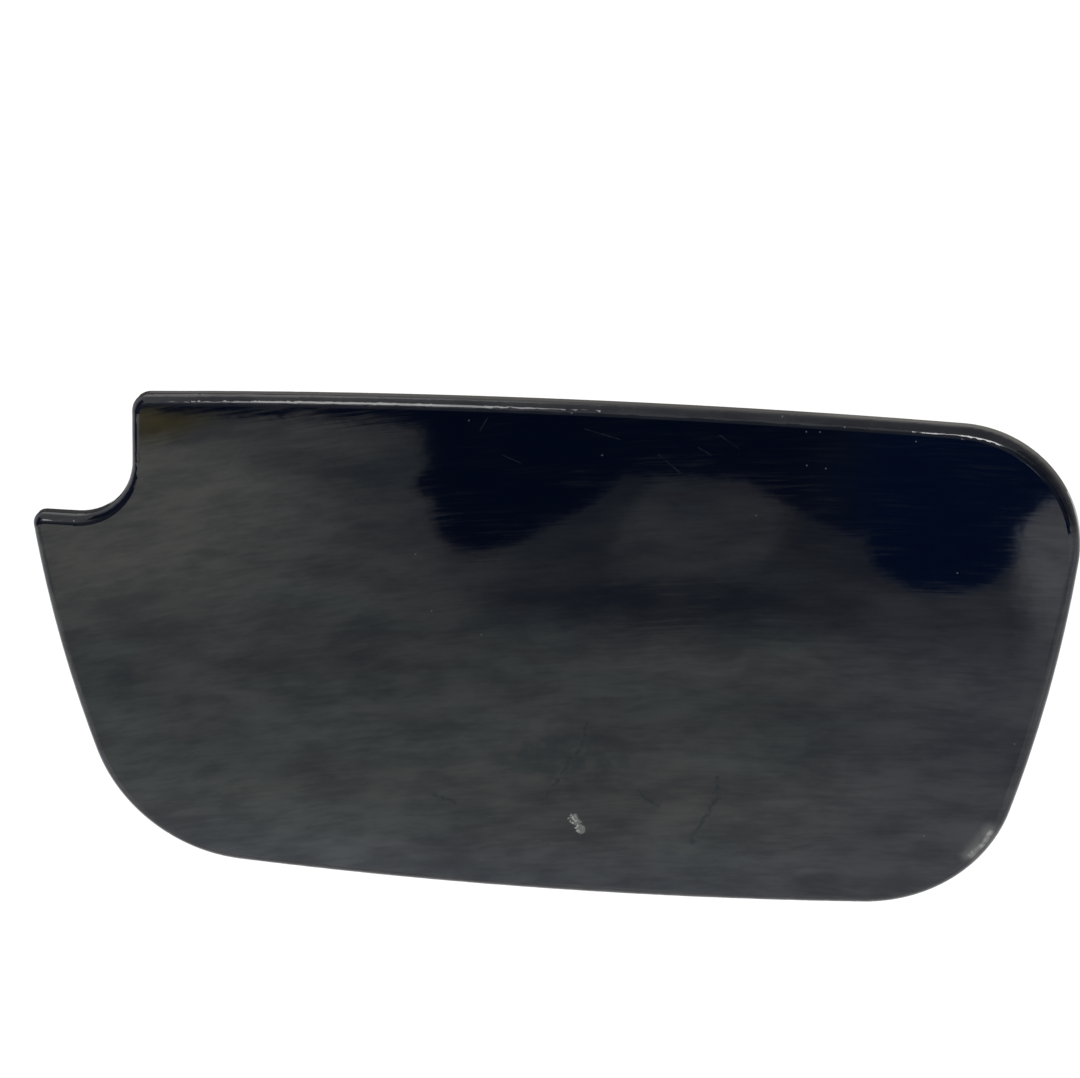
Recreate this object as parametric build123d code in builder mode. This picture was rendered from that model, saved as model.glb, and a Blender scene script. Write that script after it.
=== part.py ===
from build123d import *
from math import asin, cos, degrees, sin, sqrt
import os

os.makedirs("parts", exist_ok=True)

# A car fuel door: a crowned, painted outer panel on a ribbed inner frame, hung on a sprung hinge.
# Sizes are millimetres. As the shut door is seen from outside the car, +X is to the right, +Z is up
# and +Y points into the car. The origin is midway between the two bracket bolts, on the rear face
# of the bracket. Places on the door are given as (right, up) from the middle of the panel, with a
# depth behind the highest point of its crown.

# Outer panel: outline, with the corners taken sharp and each edge bowed outward
PANEL_WIDTH = 203.5
PANEL_HEIGHT = 99.1
TOP_FALL = 3.5
BOTTOM_RISE = 3.1
RIGHT_LEAN = 22.8
LEFT_LEAN = 15.4
TOP_BOW = 3.1
RIGHT_BOW = 4.0
BOTTOM_BOW = 2.4
LEFT_BOW = 2.3
NOTCH_WIDTH = 22.3
NOTCH_HEIGHT = 24.8
NOTCH_LEAN = 1.6
UPPER_RIGHT_RADIUS = 23.0
LOWER_RIGHT_RADIUS = 30.5
LOWER_LEFT_RADIUS = 30.7
NOTCH_RADIUS = 12.5
NOTCH_TIP_RADIUS = 3.7
LEFT_TIP_RADIUS = 2.4

# Outer panel: section
CROWN_ACROSS = 1800.0
CROWN_UP = 900.0
SKIN = 2.5
RIM_DEPTH = 4.0
RIM_WALL = 2.0
EDGE_RADIUS = 2.0
BACK_EDGE_RADIUS = 0.8

# Moulded studs and the push nuts on them
STUD_RADIUS = 2.0
STUD_REACH = 3.5
STUD_INSET = 15.2
STUD_TO_RIB = 8.0
STUD_CLEARANCE = 0.2
NUT_SEAT = 0.5
NUT_SEAT_WALL = 0.8
NUT_RADIUS = 4.5
NUT_SHEET = 0.6
NUT_COLLAR = 0.9
NUT_COLLAR_WALL = 0.8
NUT_SLIT = 0.7
NUT_BITE = 0.05

# Inner frame
FRAME_INSET = 7.0
FRAME_BASE = 2.0
RIB_DEPTH = 9.0
RIB_WALL = 2.0
RIB_TO_UPPER_STUDS = 10.0
RIB_TO_LOWER_STUDS = 14.0
RIB_TO_HOLDER = 5.0
BOSS_DEPTH = 11.0
FRAME_TO_PIVOT = 13.0

# Hinge: the pivot, seen from the panel
PIVOT_INSET = 32.2
PIVOT_DEPTH = 12.5
PIVOT_RISE = 3.0
PIN_RADIUS = 2.5
PIN_CLEARANCE = 0.05
PIN_HEAD_RADIUS = 4.5
PIN_HEAD = 2.0
PIN_HEAD_DOME = 0.8
PIN_END = 1.6
PIN_END_CHAMFER = 0.5
AXIAL_PLAY = 0.2
SEAT_CLEARANCE = 0.02

# Hinge bracket
BRACKET_SHEET = 2.5
EAR_SPAN = 38.0
EAR_RADIUS = 7.0
EAR_LEFT = 9.0
EAR_RIGHT = 4.5
PIVOT_TO_SEAT = 15.0
BOLT_TO_PIVOT = 26.0
BOLT_SPACING = 44.0
BOLT_HOLE_RADIUS = 3.5
BOLT_TAB_RADIUS = 10.0
TAB_FILLET = 2.5
BRACKET_BEND = 2.0
BRACKET_INNER_BEND = 0.8

# Hinge arm
ARM_SHEET = 2.5
ARM_LENGTH = 38.0
ARM_TO_PIVOT = 12.0
ARM_FLANGE = 7.5
ARM_FLANGE_TAPER = 9.0
ARM_CORNER = 4.0
ARM_BEND = 2.0
ARM_INNER_BEND = 0.8
LUG_NECK = 2.0
LUG_RADIUS = 7.5
STOP_REACH = 9.5
STOP_WIDTH = 4.0
BUSH_WALL = 1.0
BUSH_FLANGE = 1.0
BUSH_FLANGE_RADIUS = 5.0

# Washer and clip on the pin
PIN_WASHER = 0.8
PIN_WASHER_RADIUS = 5.5
CLIP_SHEET = 0.8
CLIP_RADIUS = 4.6
GROOVE_RADIUS = 1.8
CLIP_MOUTH = 3.0

# Torsion spring
SPRING_WIRE_RADIUS = 0.8
SPRING_RADIUS = 5.7
SPRING_TURNS = 7
SPRING_END_GAP = 1.0
TANG_CLEARANCE = 0.15
TANG_SHORT = 0.3
TANG_SWELL = 0.05

# Rubber pad that stops the open door
PAD_RADIUS = 3.8
PAD_HEIGHT = 2.4
PAD_STEM_RADIUS = 2.0
PAD_SHIFT = 0.5
PAD_GAP = 0.3

# Arm screws
SCREW_RADIUS = 2.5
SCREW_HEAD_FLATS = 8.0
SCREW_HEAD = 3.5
SCREW_CLEARANCE = 0.25
ARM_WASHER = 1.0
ARM_WASHER_RADIUS = 5.0
INSERT_WALL = 1.2
INSERT_LENGTH = 6.0
ARM_BOSS_WALL = 2.5
THREAD_CLEARANCE = 0.05
ARM_SCREW_SPREAD = 18.0
ARM_SCREW_INNER = 8.0
ARM_SCREW_OUTER = 26.0

# Small screws of the striker and the cap holder
TAPPING_RADIUS = 2.0
TAPPING_LENGTH = 8.0
TAPPING_HEAD_RADIUS = 3.8
TAPPING_HEAD = 2.4
TAPPING_SOCKET = 1.5
TAPPING_SOCKET_DEPTH = 1.4
TAPPING_CLEARANCE = 0.2
TAPPING_BOSS_WALL = 2.5
TAPPING_TIP_GAP = 0.3

# Striker
STRIKER_INSET = 20.3
STRIKER_RISE = -5.0
STRIKER_SHEET = 2.0
STRIKER_FOOT = 22.0
STRIKER_WIDTH = 22.0
STRIKER_CORNER = 3.0
STRIKER_BEND = 1.5
STRIKER_SCREW_SPACING = 13.0
STRIKER_SCREW_REACH = 15.0
LOCK_PIN_RADIUS = 4.5
LOCK_PIN_DEPTH = 20.0
LOCK_TAB_RADIUS = 8.0

# Rubber buffers
BUFFER_UPPER_INSET = 37.3
BUFFER_LOWER_INSET = 39.3
BUFFER_ROW_INSET = 15.6
BUFFER_RADIUS = 5.0
BUFFER_HEIGHT = 8.0
BUFFER_DOME = 2.5
BUFFER_STEM_RADIUS = 2.5
BUFFER_STEM = 4.0
BUFFER_SEAT_WALL = 3.0
BUFFER_STEM_CLEARANCE = 0.05

# Cap holder
HOLDER_RISE = 0.0
HOLDER_WIDTH = 56.0
HOLDER_EAR = 10.5
HOLDER_FOOT_HEIGHT = 18.0
HOLDER_WALL = 2.5
HOLDER_POCKET_HEIGHT = 22.0
HOLDER_POCKET_DEPTH = 8.0
HOLDER_SLOT_RADIUS = 7.0
HOLDER_CORNER = 5.0
HOLDER_MOUTH_RADIUS = 2.5
HOLDER_SCREW_INSET = 5.0

# Where the panel and the pivot lie from the origin
PIVOT_X = BOLT_TO_PIVOT
PIVOT_Y = -PIVOT_TO_SEAT
PIVOT_RIGHT = PANEL_WIDTH / 2 - PIVOT_INSET
PANEL_X = PIVOT_X - PIVOT_RIGHT
PANEL_Y = PIVOT_Y - PIVOT_DEPTH
PANEL_Z = -PIVOT_RISE


def behind(depth):
    """The plane at a depth behind the crown, facing out of the car."""
    return Plane((PANEL_X, PANEL_Y + depth, PANEL_Z), x_dir=(1, 0, 0), z_dir=(0, -1, 0))


def level(height):
    """The level plane at a height, with its middle on the pivot: (right, into the car)."""
    return Plane((PIVOT_X, PIVOT_Y, height))


def meridian_reach(up, offset):
    """Distance from the crown's axis to the surface an offset behind the crown, at a height."""
    return CROWN_ACROSS - offset - up**2 / (2 * CROWN_UP)


def skin_depth(right, up, offset=0.0):
    """Depth of the crowned surface at a place, or of the surface an offset behind it."""
    return CROWN_ACROSS - sqrt(meridian_reach(up, offset) ** 2 - right**2)


def crown_layer(front, back):
    """The curved layer between two offsets behind the crowned surface, wider than the panel."""
    sweep = asin(PANEL_WIDTH / CROWN_ACROSS)
    axis_point = (PANEL_X, PANEL_Y + CROWN_ACROSS, PANEL_Z)
    start = Plane(axis_point, x_dir=(-sin(sweep), -cos(sweep), 0), z_dir=(-cos(sweep), sin(sweep), 0))

    def meridian(offset):
        end = meridian_reach(PANEL_HEIGHT, offset)
        control = 2 * meridian_reach(0, offset) - end
        return Bezier((end, -PANEL_HEIGHT), (control, 0), (end, PANEL_HEIGHT))

    with BuildPart() as layer:
        with BuildSketch(start):
            with BuildLine():
                outer = meridian(front)
                inner = meridian(back)
                Line(outer @ 0, inner @ 0)
                Line(outer @ 1, inner @ 1)
            make_face()
        revolve(axis=Axis(axis_point, (0, 0, 1)), revolution_arc=2 * degrees(sweep))
    return layer.part


def bowed_edge(start, end, bow):
    """An edge from start to end, bowed to the left of its direction."""
    run = Vector(*end) - Vector(*start)
    out = Vector(-run.Y, run.X).normalized() * bow
    middle = (Vector(*start) + Vector(*end)) / 2 + out
    return ThreePointArc(start, middle, end)


# The outline's six sharp corners, clockwise from the top of the notch
half_width = PANEL_WIDTH / 2
half_height = PANEL_HEIGHT / 2
notch_top = (NOTCH_WIDTH - half_width, half_height)
upper_right = (half_width, half_height - TOP_FALL)
lower_right = (half_width - RIGHT_LEAN, -half_height)
lower_left = (LEFT_LEAN - half_width, BOTTOM_RISE - half_height)
left_tip = (-half_width, half_height - NOTCH_HEIGHT)
notch_foot = (NOTCH_WIDTH - NOTCH_LEAN - half_width, half_height - NOTCH_HEIGHT)
corner_radii = (
    (notch_top, NOTCH_TIP_RADIUS),
    (upper_right, UPPER_RIGHT_RADIUS),
    (lower_right, LOWER_RIGHT_RADIUS),
    (lower_left, LOWER_LEFT_RADIUS),
    (left_tip, LEFT_TIP_RADIUS),
    (notch_foot, NOTCH_RADIUS),
)

with BuildSketch() as outline:
    with BuildLine():
        bowed_edge(notch_top, upper_right, TOP_BOW)
        bowed_edge(upper_right, lower_right, RIGHT_BOW)
        bowed_edge(lower_right, lower_left, BOTTOM_BOW)
        bowed_edge(lower_left, left_tip, LEFT_BOW)
        Line(left_tip, notch_foot)
        Line(notch_foot, notch_top)
    make_face()
    for corner, radius in corner_radii:
        fillet(outline.vertices().sort_by_distance(corner)[0], radius)


def inset_outline(inset):
    """The outline moved in by a distance, redrawn from plain lines and arcs."""
    with BuildSketch() as ring:
        add(outline.sketch_local)
        offset(amount=-inset)
    with BuildSketch() as redrawn:
        with BuildLine():
            for edge in ring.edges():
                if edge.geom_type == GeomType.LINE:
                    Line(edge @ 0, edge @ 1)
                else:
                    ThreePointArc(edge @ 0, edge @ 0.5, edge @ 1)
        make_face()
    return redrawn.sketch_local


def rectangle_between(left, right, low, high, mode=Mode.ADD):
    """A rectangle of the current sketch, given by its four sides."""
    with Locations(((left + right) / 2, (low + high) / 2)):
        Rectangle(right - left, high - low, mode=mode)


def edges_along(piece, direction, axis, position):
    """The straight edges of a piece that run along a direction, at a position on another axis."""
    return piece.edges().filter_by(direction).filter_by_position(axis, position, position)


# Outlines, depths and layers that several pieces share
rim_inside = inset_outline(RIM_WALL)
frame_outside = inset_outline(FRAME_INSET)
frame_inside = inset_outline(FRAME_INSET + RIB_WALL)
blank_back = skin_depth(half_width, half_height) + RIM_DEPTH + SKIN
rim_layer = crown_layer(0, RIM_DEPTH)
base_layer = crown_layer(SKIN, SKIN + FRAME_BASE)
inner_space = crown_layer(SKIN, blank_back + BOSS_DEPTH)

# Heights of the hinge's stack, from the bracket's upper ear down to the end of the pin
ear_top = EAR_SPAN / 2
upper_ear = ear_top - BRACKET_SHEET
lower_ear = -ear_top
upper_lug = upper_ear - AXIAL_PLAY - BUSH_FLANGE - ARM_SHEET
lower_lug = lower_ear - AXIAL_PLAY - BUSH_FLANGE - ARM_SHEET
pin_washer_bottom = lower_lug - AXIAL_PLAY - PIN_WASHER
clip_bottom = pin_washer_bottom - CLIP_SHEET
pin_bottom = clip_bottom - PIN_END
bush_bore = PIN_RADIUS + PIN_CLEARANCE
bush_radius = bush_bore + BUSH_WALL
tang_hole = SPRING_WIRE_RADIUS + TANG_CLEARANCE

# The arm's plate and its screws, seen from the panel
arm_right = PIVOT_RIGHT - ARM_TO_PIVOT
arm_left = arm_right - ARM_LENGTH
arm_low = lower_lug + PIVOT_RISE
arm_high = upper_lug + ARM_SHEET + PIVOT_RISE
arm_middle = (arm_low + arm_high) / 2
outer_column = arm_right - ARM_SCREW_OUTER
inner_column = arm_right - ARM_SCREW_INNER
arm_screw_places = [
    (outer_column, arm_middle - ARM_SCREW_SPREAD / 2),
    (outer_column, arm_middle + ARM_SCREW_SPREAD / 2),
    (inner_column, arm_middle),
]
insert_radius = SCREW_RADIUS + THREAD_CLEARANCE + INSERT_WALL

# The striker at the free end, and the cap holder midway between the striker and the arm
striker_right = STRIKER_INSET - half_width
striker_column = striker_right + STRIKER_SCREW_REACH
striker_screw_places = [(striker_column, STRIKER_RISE + side * STRIKER_SCREW_SPACING / 2) for side in (-1, 1)]
holder_right = (striker_column + outer_column) / 2
holder_screw_reach = HOLDER_WIDTH / 2 - HOLDER_SCREW_INSET
holder_screw_places = [(holder_right + side * holder_screw_reach, HOLDER_RISE) for side in (-1, 1)]
tapping_places = striker_screw_places + holder_screw_places

# The frame's end, its ribs beside the cap holder, the studs between the ribs and the buffers
frame_end = PIVOT_RIGHT - FRAME_TO_PIVOT
rib_left = holder_right - HOLDER_WIDTH / 2 - RIB_TO_HOLDER
rib_right = holder_right + HOLDER_WIDTH / 2 + RIB_TO_HOLDER
stud_row = half_height - STUD_INSET
left_stud = rib_left + STUD_TO_RIB
right_stud = (outer_column + frame_end - RIB_WALL / 2) / 2
stud_columns = (left_stud, (left_stud + right_stud) / 2, right_stud)
stud_places = [(column, row) for row in (stud_row, -stud_row) for column in stud_columns]
rib_rows = (stud_row - RIB_TO_UPPER_STUDS, RIB_TO_LOWER_STUDS - stud_row, arm_middle)
rib_columns = (rib_left, rib_right, outer_column)
buffer_row = half_height - BUFFER_ROW_INSET
buffer_places = [
    (BUFFER_UPPER_INSET - half_width, buffer_row),
    (BUFFER_LOWER_INSET - half_width, -buffer_row),
]


def nut_seat(place):
    """Depth of the flat seat under the push nut at a stud."""
    return skin_depth(*place, SKIN + FRAME_BASE) + NUT_SEAT


with BuildPart() as pocket:
    with BuildSketch(behind(blank_back)):
        add(rim_inside)
    extrude(amount=blank_back)
    add(inner_space, mode=Mode.INTERSECT)

# The painted skin, with its rolled edge, turned-back rim and moulded studs
with BuildPart() as outer_panel:
    with BuildSketch(behind(blank_back)):
        add(outline.sketch_local)
    extrude(amount=blank_back + SKIN)
    add(rim_layer, mode=Mode.INTERSECT)
    fillet(outer_panel.faces().sort_by(Axis.Y)[0].edges(), EDGE_RADIUS)
    fillet(outer_panel.faces().sort_by(Axis.Y)[-1].edges(), BACK_EDGE_RADIUS)
    add(pocket.part, mode=Mode.SUBTRACT)
    for place in stud_places:
        foot = skin_depth(*place) + SKIN / 2
        tip = nut_seat(place) + STUD_REACH
        with BuildSketch(behind(tip)):
            with Locations(place):
                Circle(STUD_RADIUS)
        extrude(amount=tip - foot)

# Ribs, bosses and seats of the inner frame, cut off at the back of the skin
with BuildPart() as frame_webs:
    with BuildSketch(behind(RIB_DEPTH)):
        add(frame_outside)
        add(frame_inside, mode=Mode.SUBTRACT)
        rectangle_between(frame_end - RIB_WALL, frame_end, -half_height, half_height)
        for row in rib_rows:
            rectangle_between(-half_width, half_width, row - RIB_WALL / 2, row + RIB_WALL / 2)
        for column in rib_columns:
            rectangle_between(column - RIB_WALL / 2, column + RIB_WALL / 2, -half_height, half_height)
        add(frame_outside, mode=Mode.INTERSECT)
        rectangle_between(frame_end, half_width, -half_height, half_height, mode=Mode.SUBTRACT)
    extrude(amount=RIB_DEPTH)
    with BuildSketch(behind(BOSS_DEPTH)):
        with Locations(*arm_screw_places):
            Circle(insert_radius + ARM_BOSS_WALL)
        with Locations(*tapping_places):
            Circle(TAPPING_RADIUS + TAPPING_BOSS_WALL)
        with Locations(*buffer_places):
            Circle(BUFFER_STEM_RADIUS + BUFFER_SEAT_WALL)
    extrude(amount=BOSS_DEPTH)
    for place in stud_places:
        with BuildSketch(behind(nut_seat(place))):
            with Locations(place):
                Circle(NUT_RADIUS + NUT_SEAT_WALL)
        extrude(amount=nut_seat(place))
    add(inner_space, mode=Mode.INTERSECT)

# The ribbed carrier behind the skin
with BuildPart() as inner_frame:
    with BuildSketch(behind(blank_back)):
        add(frame_outside)
        rectangle_between(frame_end, half_width, -half_height, half_height, mode=Mode.SUBTRACT)
    extrude(amount=blank_back)
    add(base_layer, mode=Mode.INTERSECT)
    add(frame_webs.part)
    with BuildSketch(behind(blank_back)):
        with Locations(*stud_places):
            Circle(STUD_RADIUS + STUD_CLEARANCE)
    extrude(amount=blank_back, mode=Mode.SUBTRACT)
    with BuildSketch(behind(BOSS_DEPTH)):
        with Locations(*arm_screw_places):
            Circle(insert_radius + SEAT_CLEARANCE)
    extrude(amount=INSERT_LENGTH, mode=Mode.SUBTRACT)
    with BuildSketch(behind(BOSS_DEPTH)):
        with Locations(*tapping_places):
            Circle(TAPPING_RADIUS + THREAD_CLEARANCE)
    extrude(amount=TAPPING_LENGTH - STRIKER_SHEET + TAPPING_TIP_GAP, mode=Mode.SUBTRACT)
    with BuildSketch(behind(BOSS_DEPTH)):
        with Locations(*buffer_places):
            Circle(BUFFER_STEM_RADIUS + BUFFER_STEM_CLEARANCE)
    extrude(amount=BUFFER_STEM, mode=Mode.SUBTRACT)

# Spring nuts that hold the frame on the studs
with BuildPart() as push_nuts:
    for place in stud_places:
        with BuildSketch(behind(nut_seat(place) + NUT_SHEET)):
            with Locations(place):
                Circle(NUT_RADIUS)
                Circle(STUD_RADIUS + NUT_BITE, mode=Mode.SUBTRACT)
        extrude(amount=NUT_SHEET)
        with BuildSketch(behind(nut_seat(place) + NUT_SHEET + NUT_COLLAR)):
            with Locations(place):
                Circle(STUD_RADIUS + NUT_BITE + NUT_COLLAR_WALL)
                Circle(STUD_RADIUS + NUT_BITE, mode=Mode.SUBTRACT)
                for turn in (0, 60, 120):
                    Rectangle(2 * NUT_RADIUS, NUT_SLIT, rotation=turn, mode=Mode.SUBTRACT)
        extrude(amount=NUT_COLLAR)

# Pressed steel arm: a channel whose two flanges end in the hinge lugs
flange_front = BOSS_DEPTH - PIVOT_DEPTH
flange_back = flange_front + ARM_FLANGE
flange_left = ARM_CORNER - ARM_TO_PIVOT - ARM_LENGTH
with BuildPart() as hinge_arm:
    with BuildSketch(behind(BOSS_DEPTH + ARM_SHEET)) as arm_plate:
        rectangle_between(arm_left, arm_right, arm_low, arm_high)
        fillet(arm_plate.vertices().group_by(Axis.X)[0], ARM_CORNER)
        with Locations(*arm_screw_places):
            Circle(SCREW_RADIUS + SCREW_CLEARANCE, mode=Mode.SUBTRACT)
    extrude(amount=ARM_SHEET)
    for bottom in (upper_lug, lower_lug):
        with BuildSketch(level(bottom)):
            Circle(LUG_RADIUS)
            rectangle_between(-ARM_TO_PIVOT - LUG_NECK, -ARM_TO_PIVOT, flange_front, flange_back)
            make_hull()
            with BuildLine():
                Polyline(
                    (flange_left, flange_front),
                    (-ARM_TO_PIVOT, flange_front),
                    (-ARM_TO_PIVOT, flange_back),
                    (flange_left + ARM_FLANGE_TAPER, flange_back),
                    (flange_left, flange_front + ARM_SHEET),
                    close=True,
                )
            make_face()
            rectangle_between(0, STOP_REACH, -STOP_WIDTH, 0)
            Circle(bush_radius + SEAT_CLEARANCE, mode=Mode.SUBTRACT)
        extrude(amount=ARM_SHEET)
    with BuildSketch(level(upper_lug)):
        with Locations((-SPRING_RADIUS, 0)):
            Circle(tang_hole)
    extrude(amount=ARM_SHEET, mode=Mode.SUBTRACT)
    arm_rows = edges_along(hinge_arm, Axis.X, Axis.Y, PANEL_Y + BOSS_DEPTH).group_by(Axis.Z)
    fillet(arm_rows[0] + arm_rows[-1], ARM_BEND)
    arm_rows = edges_along(hinge_arm, Axis.X, Axis.Y, PANEL_Y + BOSS_DEPTH + ARM_SHEET).group_by(Axis.Z)
    fillet(arm_rows[0] + arm_rows[-1], ARM_INNER_BEND)

# Flanged plastic bushes in the lugs
with BuildPart() as hinge_bushes:
    for bottom in (upper_lug, lower_lug):
        with BuildSketch(level(bottom)):
            Circle(bush_radius)
            Circle(bush_bore, mode=Mode.SUBTRACT)
        extrude(amount=ARM_SHEET)
        with BuildSketch(level(bottom + ARM_SHEET)):
            Circle(BUSH_FLANGE_RADIUS)
            Circle(bush_bore, mode=Mode.SUBTRACT)
        extrude(amount=BUSH_FLANGE)

# Brass inserts in the arm's bosses
with BuildPart() as threaded_inserts:
    with BuildSketch(behind(BOSS_DEPTH)):
        with Locations(*arm_screw_places):
            Circle(insert_radius)
            Circle(SCREW_RADIUS + THREAD_CLEARANCE, mode=Mode.SUBTRACT)
    extrude(amount=INSERT_LENGTH)

with BuildPart() as arm_washers:
    with BuildSketch(behind(BOSS_DEPTH + ARM_SHEET + ARM_WASHER)):
        with Locations(*arm_screw_places):
            Circle(ARM_WASHER_RADIUS)
            Circle(SCREW_RADIUS + SCREW_CLEARANCE, mode=Mode.SUBTRACT)
    extrude(amount=ARM_WASHER)

with BuildPart() as arm_screws:
    arm_screw_seat = BOSS_DEPTH + ARM_SHEET + ARM_WASHER
    with BuildSketch(behind(arm_screw_seat)):
        with Locations(*arm_screw_places):
            Circle(SCREW_RADIUS)
    extrude(amount=ARM_WASHER + ARM_SHEET + INSERT_LENGTH)
    with BuildSketch(behind(arm_screw_seat + SCREW_HEAD)):
        with Locations(*arm_screw_places):
            RegularPolygon(SCREW_HEAD_FLATS / 2, 6, major_radius=False)
    extrude(amount=SCREW_HEAD)

# Pressed steel bracket: a web with two bolt tabs, and an ear at each end
web_plane = Plane((0, 0, 0), x_dir=(1, 0, 0), z_dir=(0, -1, 0))
pad_place = (PIVOT_X + PAD_SHIFT, upper_ear - PAD_GAP - PAD_RADIUS)
with BuildPart() as hinge_bracket:
    with BuildSketch(web_plane) as web:
        rectangle_between(-BOLT_TAB_RADIUS, PIVOT_X + EAR_RIGHT, -ear_top, ear_top)
        SlotCenterToCenter(BOLT_SPACING, 2 * BOLT_TAB_RADIUS, rotation=90)
        for side in (-1, 1):
            fillet(web.vertices().sort_by_distance((BOLT_TAB_RADIUS, side * ear_top))[0], TAB_FILLET)
        with GridLocations(0, BOLT_SPACING, 1, 2):
            Circle(BOLT_HOLE_RADIUS, mode=Mode.SUBTRACT)
        with Locations(pad_place):
            Circle(PAD_STEM_RADIUS + SEAT_CLEARANCE, mode=Mode.SUBTRACT)
    extrude(amount=BRACKET_SHEET)
    for bottom in (upper_ear, lower_ear):
        with BuildSketch(level(bottom)):
            Circle(EAR_RADIUS)
            rectangle_between(-EAR_LEFT, EAR_RIGHT, PIVOT_TO_SEAT - BRACKET_SHEET, PIVOT_TO_SEAT)
            make_hull()
            Circle(PIN_RADIUS + SEAT_CLEARANCE, mode=Mode.SUBTRACT)
        extrude(amount=BRACKET_SHEET)
    with BuildSketch(level(lower_ear)):
        with Locations((0, SPRING_RADIUS)):
            Circle(tang_hole)
    extrude(amount=BRACKET_SHEET, mode=Mode.SUBTRACT)
    web_rows = edges_along(hinge_bracket, Axis.X, Axis.Y, 0).group_by(Axis.Z)
    fillet(web_rows[0] + web_rows[-1], BRACKET_BEND)
    for height in (upper_ear, lower_ear + BRACKET_SHEET):
        inner_bend = edges_along(hinge_bracket, Axis.X, Axis.Y, -BRACKET_SHEET)
        fillet(inner_bend.filter_by_position(Axis.Z, height, height), BRACKET_INNER_BEND)

with BuildPart() as hinge_pin:
    with BuildSketch(level(pin_bottom)):
        Circle(PIN_RADIUS)
    extrude(amount=ear_top - pin_bottom)
    with BuildSketch(level(ear_top)):
        Circle(PIN_HEAD_RADIUS)
    extrude(amount=PIN_HEAD)
    fillet(hinge_pin.faces().sort_by(Axis.Z)[-1].edges(), PIN_HEAD_DOME)
    chamfer(hinge_pin.faces().sort_by(Axis.Z)[0].edges(), PIN_END_CHAMFER)
    with BuildSketch(level(clip_bottom)):
        Circle(PIN_RADIUS)
        Circle(GROOVE_RADIUS, mode=Mode.SUBTRACT)
    extrude(amount=CLIP_SHEET, mode=Mode.SUBTRACT)

with BuildPart() as pin_washer:
    with BuildSketch(level(pin_washer_bottom)):
        Circle(PIN_WASHER_RADIUS)
        Circle(PIN_RADIUS + PIN_CLEARANCE, mode=Mode.SUBTRACT)
    extrude(amount=PIN_WASHER)

with BuildPart() as pin_clip:
    with BuildSketch(level(clip_bottom)):
        Circle(CLIP_RADIUS)
        Circle(GROOVE_RADIUS + SEAT_CLEARANCE, mode=Mode.SUBTRACT)
        rectangle_between(0, CLIP_RADIUS, -CLIP_MOUTH / 2, CLIP_MOUTH / 2, mode=Mode.SUBTRACT)
    extrude(amount=CLIP_SHEET)

# Torsion spring on the pin, with a straight tang in the bracket's lower ear and one in the upper lug
coil_bottom = lower_ear + BRACKET_SHEET + SPRING_END_GAP + SPRING_WIRE_RADIUS
coil_top = upper_lug - SPRING_END_GAP - SPRING_WIRE_RADIUS
tangs = (
    ((0, SPRING_RADIUS), lower_ear + TANG_SHORT, coil_bottom, coil_bottom),
    ((-SPRING_RADIUS, 0), coil_top, upper_lug + ARM_SHEET - TANG_SHORT, coil_top),
)
coil_height = coil_top - coil_bottom
coil_pitch = coil_height / (SPRING_TURNS + 0.25)
coil_from_right = Helix(coil_pitch, coil_height, SPRING_RADIUS, center=(PIVOT_X, PIVOT_Y, coil_bottom))
coil = coil_from_right.rotate(Axis((PIVOT_X, PIVOT_Y, 0), (0, 0, 1)), 90)
with BuildPart() as torsion_spring:
    with BuildSketch(Plane(coil @ 0, z_dir=coil % 0)):
        Circle(SPRING_WIRE_RADIUS)
    sweep(path=coil, is_frenet=True)
    for place, low, high, bend in tangs:
        with BuildSketch(level(low)):
            with Locations(place):
                Circle(SPRING_WIRE_RADIUS)
        extrude(amount=high - low)
        with Locations((PIVOT_X + place[0], PIVOT_Y + place[1], bend)):
            Sphere(SPRING_WIRE_RADIUS + TANG_SWELL)

# Rubber pad on the web, which the upper lug's shoulder meets when the door is fully open
with BuildPart() as open_stop_pad:
    with BuildSketch(web_plane.offset(BRACKET_SHEET)):
        with Locations(pad_place):
            Circle(PAD_RADIUS)
    extrude(amount=PAD_HEIGHT)
    with BuildSketch(web_plane):
        with Locations(pad_place):
            Circle(PAD_STEM_RADIUS)
    extrude(amount=BRACKET_SHEET)

# Steel striker: a foot on the frame's bosses and a tab with the lock pin's hole
with BuildPart() as striker:
    with BuildSketch(behind(BOSS_DEPTH + STRIKER_SHEET)) as foot_plate:
        rectangle_between(
            striker_right,
            striker_right + STRIKER_FOOT,
            STRIKER_RISE - STRIKER_WIDTH / 2,
            STRIKER_RISE + STRIKER_WIDTH / 2,
        )
        fillet(foot_plate.vertices().group_by(Axis.X)[-1], STRIKER_CORNER)
        with Locations(*striker_screw_places):
            Circle(TAPPING_RADIUS + TAPPING_CLEARANCE, mode=Mode.SUBTRACT)
    extrude(amount=STRIKER_SHEET)
    tab_plane = Plane(
        (PANEL_X + striker_right, PANEL_Y + LOCK_PIN_DEPTH, PANEL_Z + STRIKER_RISE),
        x_dir=(0, 1, 0),
        z_dir=(1, 0, 0),
    )
    with BuildSketch(tab_plane):
        Circle(LOCK_TAB_RADIUS)
        rectangle_between(BOSS_DEPTH - LOCK_PIN_DEPTH, 0, -LOCK_TAB_RADIUS, LOCK_TAB_RADIUS)
        Circle(LOCK_PIN_RADIUS, mode=Mode.SUBTRACT)
    extrude(amount=STRIKER_SHEET)
    bend_edges = edges_along(striker, Axis.Z, Axis.Y, PANEL_Y + BOSS_DEPTH)
    fillet(bend_edges.group_by(Axis.X)[0], STRIKER_BEND)

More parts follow.
